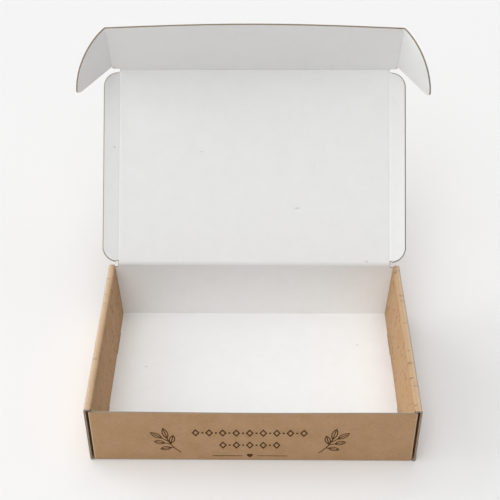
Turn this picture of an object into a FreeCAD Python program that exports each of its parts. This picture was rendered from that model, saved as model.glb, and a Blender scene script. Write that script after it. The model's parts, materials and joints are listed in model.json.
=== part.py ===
import FreeCAD, Part
import math
import os

V = FreeCAD.Vector

# A roll-end, tuck-front mailer box of single-wall corrugated board, lid open.
# Millimetres. X to the right, Y to the back, Z up, origin under the middle of the tray.

# board
T = 1.5
HALF_T = T / 2
FOLD_IN = 0.45
FOLD_R = HALF_T + FOLD_IN

# tray
WIDTH = 300.0
DEPTH = 200.0
HEIGHT = 68.0
FRONT_DROP = 3.5
EAR_SLOT = 2.0
LAYER_GAP = 0.1
ROLL_WIDTH = 3 * T + EAR_SLOT + LAYER_GAP
INNER_SLANT = 3.55
INNER_X = WIDTH / 2 - ROLL_WIDTH + HALF_T
INNER_FOOT_X = INNER_X - INNER_SLANT
WALL_END_X = WIDTH / 2 - T - EAR_SLOT
NOTCH_Y = DEPTH / 2 - T - 0.4
NOTCH_TOP = HEIGHT - T - 0.3
BACK_SHOULDER_TOP = HEIGHT - T - 0.6
HINGE_HALF = WIDTH / 2 - ROLL_WIDTH - 2.4
CORNER_FLAP_FRONT = 64.0
CORNER_FLAP_BACK = 58.0
CORNER_FLAP_FOOT = 2.0
CORNER_FLAP_TAPER = 3.0
CORNER_FLAP_ROUND = 6.0

# lock tabs of the inner side panels and their slots in the floor
TAB_Y = DEPTH * 0.26
TAB_LONG = 30.0
TAB_FOOT = 0.12
SLOT_SIDE = 0.35
SLOT_END = 0.6
PANEL_FOOT = T + 0.12

# creases of the lid: a round edge on one side, a flat edge on the other
CREASE_GAP = 0.15
EDGE = HALF_T + CREASE_GAP
LID_RAISE = 1.8
HINGE_Y = DEPTH / 2 - HALF_T
HINGE_Z = HEIGHT + LID_RAISE + HALF_T
FLAP_GAP = 1.2
FLAP_Y = -(DEPTH / 2 + FLAP_GAP + HALF_T)

# lid, closed: a flat panel in the plane z = HINGE_Z
LID_HALF = HINGE_HALF - 1.5
SIDE_FLAP_WIDE = 16.7
SIDE_FLAP_ROUND = 15.5
SIDE_FLAP_FRONT = 2.9
SIDE_FLAP_REAR = 1.3

# front flap and ears, closed: the flap hangs in the plane y = FLAP_Y, the ears run back
EAR_X = WIDTH / 2 - T - EAR_SLOT / 2
FLAP_HIGH = 63.0
FLAP_BOW = 4.5
EAR_START = 4.6
EAR_TAPER = 1.6
EAR_REACH = 51.0
EAR_TIP_R = 5.5

# how far each crease is folded in the photograph, degrees
LID_OPEN = 131.0
FLAP_FOLD = 62.0
LEFT_EAR_FOLD = 50.0
RIGHT_EAR_FOLD = 54.0
SIDE_FLAP_FOLD = 8.0


def box(x0, x1, y0, y1, z0, z1):
    """A block between two corners."""
    return Part.makeBox(x1 - x0, y1 - y0, z1 - z0, V(x0, y0, z0))


def unit(v):
    return v.multiply(1 / v.Length) if v.Length else v


def ribbon(points, radius, place, along):
    """The board seen edge on: a strip of thickness T along a folded centre line, pushed through by `along`."""
    path = [V(a, b, 0) for a, b in points]
    up = V(0, 0, 1)
    sides = {1: [], -1: []}
    for s in (1, -1):
        edges = sides[s]
        start = None
        for k in range(len(path)):
            if k in (0, len(path) - 1):
                near = path[1] - path[0] if k == 0 else path[-1] - path[-2]
                n = up.cross(unit(V(near)))
                here = path[k] + V(n).multiply(s * HALF_T)
                if start is not None:
                    edges.append(Part.LineSegment(start, here).toShape())
                start = here
                continue
            d0 = unit(path[k] - path[k - 1])
            d1 = unit(path[k + 1] - path[k])
            turn = math.copysign(1, up.dot(d0.cross(d1)))
            angle = math.acos(max(-1, min(1, d0.dot(d1))))
            back = radius * math.tan(angle / 2)
            p0 = path[k] - V(d0).multiply(back)
            p1 = path[k] + V(d1).multiply(back)
            centre = p0 + up.cross(d0).multiply(turn * radius)
            r = radius - turn * s * HALF_T
            a0 = p0 + up.cross(d0).multiply(s * HALF_T)
            a1 = p1 + up.cross(d1).multiply(s * HALF_T)
            middle = unit((a0 - centre) + (a1 - centre))
            edges.append(Part.LineSegment(start, a0).toShape())
            edges.append(Part.Arc(a0, centre + middle.multiply(r), a1).toShape())
            start = a1
    first = [e.Vertexes for e in (sides[1][0], sides[-1][0])]
    last = [e.Vertexes for e in (sides[1][-1], sides[-1][-1])]
    ends = [
        Part.LineSegment(first[0][0].Point, first[1][0].Point).toShape(),
        Part.LineSegment(last[0][-1].Point, last[1][-1].Point).toShape(),
    ]
    outline = Part.Wire(Part.__sortEdges__(sides[1] + sides[-1] + ends))
    face = Part.Face(outline)
    face.Placement = place
    return face.extrude(along)


# flat drawing planes: the drawing's own X and Y become the axes named
XZ = FreeCAD.Placement(V(0, 0, 0), FreeCAD.Rotation(V(1, 0, 0), V(0, 0, 1), V(0, -1, 0), "ZXY"))
XY = FreeCAD.Placement()
YZ = FreeCAD.Placement(V(0, 0, 0), FreeCAD.Rotation(V(0, 1, 0), V(0, 0, 1), V(1, 0, 0), "ZXY"))


def moved(place, x=0.0, y=0.0, z=0.0):
    return FreeCAD.Placement(V(x, y, z), place.Rotation)


def mirrored(shape, normal):
    return shape.mirror(V(0, 0, 0), normal)


def rolled_side():
    """The right side: floor edge, outer panel, top strip and inner panel of one run of board."""
    outer = WIDTH / 2 - HALF_T
    top = HEIGHT - HALF_T
    line = [
        (INNER_FOOT_X - 8 * T, HALF_T),
        (outer, HALF_T),
        (outer, top),
        (INNER_X, top),
        (INNER_FOOT_X, 0),
    ]
    side = ribbon(line, FOLD_R, moved(XZ, y=DEPTH / 2), V(0, -DEPTH, 0))
    # the inner panel stops short of the front and back walls and stands on the floor
    notch = box(INNER_FOOT_X - 2 * T, WALL_END_X - LAYER_GAP / 2, NOTCH_Y, DEPTH, T, NOTCH_TOP)
    return side.cut(notch).cut(mirrored(notch, V(0, 1, 0)))


def side_with_tabs():
    """The rolled side with its inner panel cut to a foot line between the lock tabs."""
    side = rolled_side()
    end = DEPTH / 2 + 1
    side = side.cut(box(INNER_FOOT_X - 9 * T, WALL_END_X - 0.01, -end, end, -1, T + 0.001))
    x0, x1 = INNER_FOOT_X - 1.5 * T, INNER_FOOT_X + 1.5 * T
    edges = [-NOTCH_Y, -TAB_Y - TAB_LONG / 2, TAB_LONG / 2 - TAB_Y, TAB_Y - TAB_LONG / 2, TAB_Y + TAB_LONG / 2, NOTCH_Y]
    for a, b in zip(edges[::2], edges[1::2]):
        side = side.cut(box(x0, x1, a, b, -1, PANEL_FOOT))
    return side


def tab_pair():
    """The two lock tabs, in line with the slanting inner panel."""
    slope = INNER_SLANT / (HEIGHT - HALF_T)
    upper = 4 * T
    line = [(INNER_FOOT_X + slope * upper, upper), (INNER_FOOT_X - slope * T, -T)]
    tabs = []
    for y in (-TAB_Y, TAB_Y):
        tab = ribbon(line, FOLD_R, moved(XZ, y=y + TAB_LONG / 2), V(0, -TAB_LONG, 0))
        below = box(
            INNER_FOOT_X - 3 * T, INNER_FOOT_X + 3 * T, y - TAB_LONG, y + TAB_LONG, -3 * T, TAB_FOOT
        )
        tabs.append(tab.cut(below))
    return tabs


def floor_plate():
    """The floor between its four folds, with the slots for the lock tabs."""
    x1 = WALL_END_X + 0.5
    y1 = DEPTH / 2 - HALF_T - FOLD_R
    floor = box(-x1, x1, -y1, y1, 0, T)
    for s in (-1, 1):
        for y in (-TAB_Y, TAB_Y):
            x = s * INNER_FOOT_X
            floor = floor.cut(box(
                x - HALF_T - SLOT_SIDE, x + HALF_T + SLOT_SIDE,
                y - TAB_LONG / 2 - SLOT_END, y + TAB_LONG / 2 + SLOT_END, -1, T + 1,
            ))
    return floor


def end_wall(sign, top, half):
    """A front (-1) or back (+1) wall, folded up from the floor."""
    face_y = sign * (DEPTH / 2 - HALF_T)
    line = [(sign * (DEPTH / 2 - HALF_T - FOLD_R - 3), HALF_T), (face_y, HALF_T), (face_y, top)]
    return ribbon(line, FOLD_R, moved(YZ, x=-half), V(2 * half, 0, 0))


def corner_flap(sign, long, top):
    """The right-hand flap of an end wall, folded in along the side and trapped there."""
    face_y = sign * (DEPTH / 2 - HALF_T)
    x = WALL_END_X - HALF_T
    low = CORNER_FLAP_FOOT
    end = face_y - sign * long
    root = face_y - sign * 8
    line = [(x - FOLD_R - 0.05, face_y), (x, face_y), (x, end)]
    flap = ribbon(line, FOLD_R, moved(XY, z=low), V(0, 0, top - low))
    # the free end is narrower than the root, with rounded corners
    keep = Part.Face(Part.makePolygon([
        V(0, face_y + sign * 5, low), V(0, root, low), V(0, end, low + CORNER_FLAP_TAPER),
        V(0, end, top - CORNER_FLAP_TAPER), V(0, root, top), V(0, face_y + sign * 5, top),
        V(0, face_y + sign * 5, low),
    ])).extrude(V(12, 0, 0))
    keep.translate(V(x - 8, 0, 0))
    flap = flap.common(keep)
    free = [
        e for e in flap.Edges
        if abs(e.BoundBox.YMin - end) < 0.01 and abs(e.BoundBox.YMax - end) < 0.01 and e.BoundBox.XLength > 1
    ]
    return flap.makeFillet(CORNER_FLAP_ROUND, free)


def back_shoulders(wall):
    """The back wall's ends stop under the top strips; its middle runs up to the lid's crease."""
    for s in (-1, 1):
        cut = box(HINGE_HALF, WIDTH / 2, DEPTH / 2 - 2 * T, DEPTH / 2 + T, BACK_SHOULDER_TOP, HINGE_Z + T)
        wall = wall.cut(cut if s > 0 else mirrored(cut, V(1, 0, 0)))
    bead = Part.makeCylinder(HALF_T, 2 * HINGE_HALF, V(-HINGE_HALF, HINGE_Y, HINGE_Z), V(1, 0, 0))
    return wall.fuse(bead)


def make_tray():
    front_top = HEIGHT - FRONT_DROP
    straight = WALL_END_X - HALF_T - FOLD_R
    front = end_wall(-1, front_top, straight)
    back = back_shoulders(end_wall(1, HINGE_Z, straight))
    parts = [floor_plate(), front, back]
    for flip in (False, True):
        pieces = [side_with_tabs()] + tab_pair()
        pieces.append(corner_flap(-1, CORNER_FLAP_FRONT, front_top))
        pieces.append(corner_flap(1, CORNER_FLAP_BACK, BACK_SHOULDER_TOP))
        for p in pieces:
            parts.append(mirrored(p, V(1, 0, 0)) if flip else p)
    tray = parts[0].multiFuse(parts[1:])
    return tray.removeSplitter()


def make_lid():
    """Closed: flat, from the hinge's flat edge to the front crease, with round creased edges."""
    lid = box(-LID_HALF, LID_HALF, FLAP_Y, HINGE_Y - EDGE, HINGE_Z - HALF_T, HINGE_Z + HALF_T)
    front = Part.makeCylinder(HALF_T, 2 * LID_HALF, V(-LID_HALF, FLAP_Y, HINGE_Z), V(1, 0, 0))
    run = HINGE_Y - EDGE - FLAP_Y
    parts = [front]
    for s in (-1, 1):
        parts.append(Part.makeCylinder(HALF_T, run, V(s * LID_HALF, FLAP_Y, HINGE_Z), V(0, 1, 0)))
        parts.append(Part.makeSphere(HALF_T, V(s * LID_HALF, FLAP_Y, HINGE_Z)))
    return lid.multiFuse(parts).removeSplitter()


def make_side_flap(s):
    """Closed: the flap hangs down from the lid's side crease."""
    y0, y1 = FLAP_Y + SIDE_FLAP_FRONT, HINGE_Y - SIDE_FLAP_REAR
    z0, z1 = HINGE_Z - SIDE_FLAP_WIDE, HINGE_Z - EDGE
    x = s * LID_HALF
    flap = box(x - HALF_T, x + HALF_T, y0, y1, z0, z1)
    low = [e for e in flap.Edges if e.BoundBox.ZMax < z0 + 0.01 and e.BoundBox.XLength > 1]
    return flap.makeFillet(SIDE_FLAP_ROUND, low)


def make_front_flap():
    """Closed: hangs in front of the front wall; the free edge is bowed, the ends are creased."""
    z1 = HINGE_Z - EDGE
    z0 = HINGE_Z - FLAP_HIGH
    y = FLAP_Y - HALF_T
    edge = [
        Part.LineSegment(V(-EAR_X, y, z0), V(-EAR_X, y, z1)).toShape(),
        Part.LineSegment(V(-EAR_X, y, z1), V(EAR_X, y, z1)).toShape(),
        Part.LineSegment(V(EAR_X, y, z1), V(EAR_X, y, z0)).toShape(),
        Part.Arc(V(EAR_X, y, z0), V(0, y, z0 - FLAP_BOW), V(-EAR_X, y, z0)).toShape(),
    ]
    flap = Part.Face(Part.Wire(edge)).extrude(V(0, T, 0))
    ends = [
        Part.makeCylinder(HALF_T, z1 - z0, V(s * EAR_X, FLAP_Y, z0), V(0, 0, 1)) for s in (-1, 1)
    ]
    return flap.multiFuse(ends).removeSplitter()


def make_ear(s):
    """Closed: runs back from the front flap's end, in the slot between the side panels."""
    x = s * EAR_X
    top = HINGE_Z - EAR_START
    oval = Part.Ellipse(V(0, 0, 0), FLAP_HIGH, EAR_REACH)
    disc = Part.Face(Part.Wire(oval.toShape())).extrude(V(0, 0, T))
    # the oval's long way runs down the crease, its short way runs back
    disc.Placement = FreeCAD.Placement(
        V(x - HALF_T, FLAP_Y, HINGE_Z), FreeCAD.Rotation(V(0, 0, -1), V(0, 1, 0), V(1, 0, 0), "ZXY")
    )
    y0, y1 = FLAP_Y + EDGE, FLAP_Y + EAR_REACH + 5
    keep = Part.Face(Part.makePolygon([
        V(x - T, y0, HINGE_Z - FLAP_HIGH - 5), V(x - T, y1, HINGE_Z - FLAP_HIGH - 5),
        V(x - T, y1, top - EAR_TAPER), V(x - T, y0, top), V(x - T, y0, HINGE_Z - FLAP_HIGH - 5),
    ])).extrude(V(2 * T, 0, 0))
    ear = disc.common(keep)
    tip = [
        e for e in ear.Edges
        if e.BoundBox.XLength > 1 and e.BoundBox.YMin > FLAP_Y + EAR_REACH * 0.8
    ]
    return ear.makeFillet(EAR_TIP_R, tip)


def open_lid(shape):
    """From closed to the photograph's pose, about the back wall's crease."""
    shape.rotate(V(0, HINGE_Y, HINGE_Z), V(-1, 0, 0), LID_OPEN)
    return shape


def open_flap(shape):
    shape.rotate(V(0, FLAP_Y, HINGE_Z), V(-1, 0, 0), 90 - FLAP_FOLD)
    return open_lid(shape)


def open_ear(shape, s, fold):
    shape.rotate(V(s * EAR_X, FLAP_Y, HINGE_Z), V(0, 0, -s), 90 - fold)
    return open_flap(shape)


def open_side_flap(shape, s):
    shape.rotate(V(s * LID_HALF, 0, HINGE_Z), V(0, -s, 0), 90 - SIDE_FLAP_FOLD)
    return open_lid(shape)


def save(name, shape):
    solids = shape.Solids
    solid = solids[0] if len(solids) == 1 else shape
    solid.exportStep(os.path.join("parts", name + ".step"))


os.makedirs("parts", exist_ok=True)
save("tray", make_tray())
save("lid_panel", open_lid(make_lid()))
save("front_flap", open_flap(make_front_flap()))
save("left_ear", open_ear(make_ear(-1), -1, LEFT_EAR_FOLD))
save("right_ear", open_ear(make_ear(1), 1, RIGHT_EAR_FOLD))
save("left_side_flap", open_side_flap(make_side_flap(-1), -1))
save("right_side_flap", open_side_flap(make_side_flap(1), 1))
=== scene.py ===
import json
import math

import bmesh
import bpy
from mathutils import Matrix, Vector


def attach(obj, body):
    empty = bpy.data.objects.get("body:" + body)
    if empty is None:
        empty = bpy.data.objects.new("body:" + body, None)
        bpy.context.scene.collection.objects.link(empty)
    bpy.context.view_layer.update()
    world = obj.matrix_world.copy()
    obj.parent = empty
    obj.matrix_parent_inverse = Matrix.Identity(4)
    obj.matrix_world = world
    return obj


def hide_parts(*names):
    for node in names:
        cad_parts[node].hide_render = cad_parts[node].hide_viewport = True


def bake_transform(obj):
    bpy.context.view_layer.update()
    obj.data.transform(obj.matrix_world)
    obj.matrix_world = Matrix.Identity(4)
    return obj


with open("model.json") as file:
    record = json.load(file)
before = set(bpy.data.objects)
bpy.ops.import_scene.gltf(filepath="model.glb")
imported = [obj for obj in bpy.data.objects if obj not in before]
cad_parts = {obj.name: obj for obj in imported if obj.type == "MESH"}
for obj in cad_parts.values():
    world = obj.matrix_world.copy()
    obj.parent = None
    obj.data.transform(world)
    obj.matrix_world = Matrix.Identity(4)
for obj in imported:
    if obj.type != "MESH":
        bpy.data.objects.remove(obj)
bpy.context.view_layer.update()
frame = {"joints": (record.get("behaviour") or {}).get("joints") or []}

METRE = 1000


def mm(value):
    """Millimetres as metres."""
    return value / METRE


# The box is one die-cut blank of E-flute board. Every piece below is cut flat in the blank's
# own plane, given the board's thickness, and then folded to where the frame's solids stand.
# Flat coordinates: x to the right, y from the front wall to the lid, z through the board,
# with the white liner on the positive side. Folds follow the middle of the board.

# the board, its fluting and its two liners, of which the inner one is brown under a white skin
BOARD = mm(1.5)
HALF = BOARD / 2
FOLD_RADIUS = mm(1.2)
FLUTE_PITCH = mm(3.3)
LINER = mm(0.28)
WHITE_SKIN = mm(0.08)

# the tray's outside
WIDTH = mm(300)
DEPTH = mm(200)
HEIGHT = mm(68)
SIDE_FACE = WIDTH / 2 - HALF
WALL_FACE = DEPTH / 2 - HALF
FRONT_TOP = HEIGHT - mm(3.5)
BACK_SHOULDER = HEIGHT - mm(2.1)
HINGE_Z = mm(70.55)

# the inner side panels, which lean a little, with the tabs that lock them in the floor
INNER_TOP_X = mm(144.15)
INNER_FOOT_X = mm(140.6)
NOTCH_IN = mm(0.9)
NOTCH = mm(98.1)
PANEL_FOOT = mm(1.62)
TAB_FOOT = mm(0.12)
TAB_Y = mm(52)
TAB_LONG = mm(30)
TAB_TAPER = mm(0.6)
TAB_SLOT_SIDE = mm(1.1)
TAB_SLOT_END = mm(0.6)

# the front and back walls end where their corner flaps turn in, just inside the outer panels
WALL_END = mm(144.55)
SIDE_START = mm(146.49)
REGION_Y = DEPTH / 2 + mm(0.2)
CORNER_FOOT = mm(2.6)
CORNER_FRONT = mm(64)
CORNER_BACK = mm(58)
CORNER_ROOT = mm(7)
CORNER_TAPER = mm(3)
CORNER_ROUND = mm(6)

# the lid with its front flap, ears and side flaps
LID_HALF = mm(139.5)
HINGE_STRIP = mm(140.2)
FLAP_HALF = mm(147.5)
FLAP_HIGH = mm(63)
FLAP_BOW = mm(4.5)
FLAP_STEP_X = LID_HALF + mm(0.4)
FLAP_STEP_Y = mm(0.95)
SIDE_FLAP_WIDE = mm(16.7)
SIDE_FLAP_ROUND = mm(15.5)
SIDE_FLAP_ROOT = mm(0.9)
SIDE_FLAP_FRONT = mm(2.9)
SIDE_FLAP_REAR = mm(1.3)
EAR_REACH = mm(51)
EAR_START = mm(4.6)
EAR_TAPER = mm(1.6)
EAR_TIP = mm(5.5)
EAR_SIDES = 128
EAR_TIP_CUTS = range(-81, 9, 9)

# a crease that turns is a strip of its own, this far to each side of its line, with a scored groove
CREASE_REACH = mm(2.6)
CREASE_RADIUS = mm(1.15)
CREASE_LINES = (0.3, 0.55, 0.8, 1.1, 1.5, 2.0)
SCORE_DEPTH = mm(0.4)
SCORE_WIDTH = mm(0.75)

# wear: how far sheets bow, flaps curl and edges are crushed, and how rubbed the folds are, of 1; on the
# tray's outer top folds and across its rolled top the rubbing also carries a painted highlight
FRONT_WALL_BOW = mm(0.9)
BACK_WALL_BOW = mm(0.7)
OUTER_BOW = mm(0.5)
INNER_BOW = mm(0.6)
INNER_BOW_ENDS = 0.35
LID_BOW = mm(0.9)
FLAP_BULGE = mm(1.0)
EAR_CURL = mm(0.2)
SIDE_FLAP_CURL = mm(1.3)
CRUSH = mm(0.6)
SIDE_FLAP_CRUSH = mm(1.1)
ROLL_RUB_AND_HIGHLIGHT = 0.85
FOOT_RUB = 0.5
CREASE_RUB = 0.8
CREASE_RUB_WIDTH = mm(0.9)

# how finely the sheets are divided so that they fold and bow, and how near two places count as one
GRID = mm(9)
EAR_GRID = mm(7)
SIDE_FLAP_GRID = mm(4)
BEND_STEPS = 6
NEAR = 1e-6
TOUCHING = 1e-7

# where the bends come on the blank, counted from its middle. The straight run after a last bend is endless
QUARTER = math.pi / 2
ENDLESS = 1.0
ARC = FOLD_RADIUS * QUARTER
RISE = FOLD_RADIUS + HALF
SLANT = math.atan((INNER_TOP_X - INNER_FOOT_X) / (HEIGHT - HALF))
ROLL_TURN = QUARTER - SLANT
ROLL_BACK = FOLD_RADIUS * math.tan(ROLL_TURN / 2)
OUTER_RUN = HEIGHT - HALF - FOLD_RADIUS - RISE
STRIP_RUN = SIDE_FACE - FOLD_RADIUS - (INNER_TOP_X + ROLL_BACK)
BEND_X = SIDE_FACE - FOLD_RADIUS
OUTER_START = BEND_X + ARC
OUTER_END = OUTER_START + OUTER_RUN
STRIP_START = OUTER_END + ARC
INNER_START = STRIP_START + STRIP_RUN + FOLD_RADIUS * ROLL_TURN
PANEL_END = INNER_START + (HEIGHT - HALF - PANEL_FOOT) / math.cos(SLANT) - ROLL_BACK
TAB_END = INNER_START + (HEIGHT - HALF - TAB_FOOT) / math.cos(SLANT) - ROLL_BACK
CORNER_START = WALL_END + ARC
BEND_Y = WALL_FACE - FOLD_RADIUS
WALL_START = BEND_Y + ARC
FOOT_Y = WALL_START - RISE
FRONT_EDGE_Y = FOOT_Y + FRONT_TOP
BACK_SHOULDER_Y = FOOT_Y + BACK_SHOULDER
HINGE_BLANK_Y = FOOT_Y + HINGE_Z
SIDE_BENDS = ((QUARTER, OUTER_RUN), (QUARTER, STRIP_RUN), (ROLL_TURN, ENDLESS))
WALL_BENDS = ((QUARTER, ENDLESS),)

# colours of the finishes
KRAFT_HEX = "BA9571"
KRAFT_DARK_HEX = "B18D65"
KRAFT_FIBRE_HEX = "D2B492"
# the rubbed fibre's colour, which on the tray's top folds and rolled strip also serves as a painted
# highlight
KRAFT_WEAR_AND_HIGHLIGHT_HEX = "DFCDB6"
KRAFT_FLECK_HEX = "74532F"
WHITE_HEX = "F0F0F0"
WHITE_DARK_HEX = "EEEEED"
WHITE_FIBRE_HEX = "F5F6F6"
WHITE_FLECK_HEX = "C9C4BA"
CUT_FLUTING_HEX = "B3A592"
CUT_LINER_HEX = "AC9E8C"
FLUTE_HOLLOW_SHADE_HEX = "56432F"
INK_HEX = "4A2C12"
INK_THIN_HEX = "6E4A2A"
FLOOR_HEX = "EEEEEE"
BACKDROP_HEX = "F4F4F4"


def linear(hex_code):
    """An sRGB hex colour as Blender's linear RGBA."""
    out = []
    for i in (0, 2, 4):
        c = int(hex_code[i:i + 2], 16) / 255
        out.append(c / 12.92 if c <= 0.04045 else ((c + 0.055) / 1.055) ** 2.4)
    return (*out, 1.0)


# Materials. Their patterns are laid out on the flat blank, in millimetres.

NONE, FULL = (0, 0, 0, 1), (1, 1, 1, 1)
FACTOR, UNDER, OVER, MIXED = 0, 6, 7, 2

# sizes of the clouds of pulp, the bundles of fibre, the flecks and their drifts, the grain of rubbed, torn
# and inked paper, and the length over which the fluting wanders. Fibres and flecks are drawn out across the
# flutes, the wandering along them
CLOUD = 18
FIBRE_BUNDLE = 0.45
FLECK_CELL = 3.6
FLECK_FRAY = 0.9
FLECK_DRIFT = 55
RUBBED_GRAIN = 0.3
TORN_GRAIN = 0.4
INKED_GRAIN = 0.6
FLUTE_WANDER = 50
FIBRE_STRETCH = (0.16, 1, 1)
FLECK_STRETCH = (0.4, 1, 1)
FLUTE_STRETCH = (1, 0.4, 1)
# flecks crowd beyond this distance from the middle of the blank, fully so this much further out. Elsewhere
# only this share of the cells has one
CROWD_FROM = 200
CROWD_FADE = 20
SPARSE_FLECKS = 0.006
# half the fluting paper's thickness in a cut edge, drawn at twice its real size so that it shows, and how
# far its wave stays inside the board, in liners
FLUTING_HALF = 0.2
WAVE_INSET = 1.4
# how deep the washboard of a liner and the open flutes of a cut edge look
WASHBOARD_DEPTH = mm(0.03)
FLUTE_DEPTH = mm(0.4)


def new_material(name):
    material = bpy.data.materials.new(name)
    material.use_nodes = True
    material.node_tree.nodes.clear()
    return material, material.node_tree


def add(tree, kind, settings=(), links=()):
    """Adds one shader node. settings holds its options, a colour ramp's stops and its inputs' values, links
    the outputs that feed its inputs, where a node stands for its own first output."""
    node = tree.nodes.new("ShaderNode" + kind)
    for key, value in dict(settings).items():
        if key == "stops":
            elements = node.color_ramp.elements
            elements.remove(elements[1])
            elements[0].position, elements[0].color = value[0]
            for place, colour in value[1:]:
                elements.new(place).color = colour
        elif isinstance(key, str) and key not in node.inputs:
            setattr(node, key, value)
        else:
            node.inputs[key].default_value = value
    for key, source in dict(links).items():
        output = source.outputs[0] if isinstance(source, bpy.types.Node) else source
        tree.links.new(node.inputs[key], output)
    return node


def on_blank(tree, stretch=(1, 1, 1)):
    """The blank's coordinates in millimetres. A stretch below one draws a pattern out that way."""
    flat = add(tree, "Attribute", {"attribute_name": "blank"})
    scale = [s * METRE for s in stretch]
    return add(tree, "VectorMath", {"operation": "MULTIPLY", 1: scale}, {0: flat.outputs["Vector"]})


def flute_wave(tree):
    """One wave for each flute across the blank, as the fluting runs from front to back, and the blank's
    coordinates one by one."""
    parts = add(tree, "SeparateXYZ", links={0: on_blank(tree)})
    # the fluting wanders by up to 0.4 mm to each side
    wander = add(
        tree, "TexNoise", {"Scale": 1 / FLUTE_WANDER, "Detail": 1.0},
        {"Vector": on_blank(tree, FLUTE_STRETCH)},
    )
    shift = add(tree, "Math", {"operation": "MULTIPLY", 1: 1.5}, {0: wander})
    per_mm = math.tau / (FLUTE_PITCH * METRE)
    turns = add(tree, "Math", {"operation": "MULTIPLY_ADD", 1: per_mm}, {0: parts, 2: shift})
    return add(tree, "Math", {"operation": "SINE"}, {0: turns}), parts


def flecks(tree, parts, crowded):
    """How dark each place is with flecks of bark and dark pulp. They lie along the fibres, 2.5 to 6.5 mm
    long and 1 to 2.6 mm wide, coarser than real so that they show, one or none in each cell of 9 by 3.6 mm.
    They come in drifts towards the sides of the paper web, where up to the share named crowded of the cells
    has one."""
    ragged = add(tree, "TexNoise", {"Scale": 1 / FLECK_FRAY, "Detail": 1.0}, {"Vector": on_blank(tree)})
    frayed = add(
        tree, "VectorMath", {"operation": "MULTIPLY_ADD", 1: (0.6, 0.6, 0.6)},
        {0: ragged.outputs["Color"], 2: on_blank(tree, FLECK_STRETCH)},
    )
    cells = add(tree, "TexVoronoi", {"Scale": 1 / FLECK_CELL, "Randomness": 1.0}, {"Vector": frayed})
    lot = add(tree, "SeparateColor", links={0: cells.outputs["Color"]})
    # how many cells have a fleck here
    drift = add(tree, "TexNoise", {"Scale": 1 / FLECK_DRIFT, "Detail": 2.0}, {"Vector": on_blank(tree)})
    banks = add(tree, "ValToRGB", {"stops": [(0.38, (0.35, 0.35, 0.35, 1)), (0.6, FULL)]}, {0: drift})
    across = add(tree, "Math", {"operation": "ABSOLUTE"}, {0: parts})
    fade = {"operation": "MULTIPLY_ADD", 1: 1 / CROWD_FADE, 2: -CROWD_FROM / CROWD_FADE, "use_clamp": True}
    outer = add(tree, "Math", fade, {0: across})
    share = add(tree, "Math", {"operation": "MULTIPLY_ADD", 1: crowded, 2: SPARSE_FLECKS}, {0: outer})
    crowd = add(tree, "Math", {"operation": "MULTIPLY"}, {0: banks, 1: share})
    drawn = add(tree, "Math", {"operation": "LESS_THAN"}, {0: lot.outputs["Red"], 1: crowd})
    # a fleck reaches over 0.14 to 0.36 of a cell from its middle, and hides 0.42 to 0.87 of what is under it
    reach = add(tree, "Math", {"operation": "MULTIPLY_ADD", 1: 0.22, 2: 0.14}, {0: lot.outputs["Green"]})
    near = add(tree, "Math", {"operation": "LESS_THAN"}, {0: cells.outputs["Distance"], 1: reach})
    spot = add(tree, "Math", {"operation": "MULTIPLY"}, {0: drawn, 1: near})
    depth = add(tree, "Math", {"operation": "MULTIPLY_ADD", 1: 0.45, 2: 0.42}, {0: lot.outputs["Blue"]})
    return add(tree, "Math", {"operation": "MULTIPLY"}, {0: spot, 1: depth})


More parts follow.
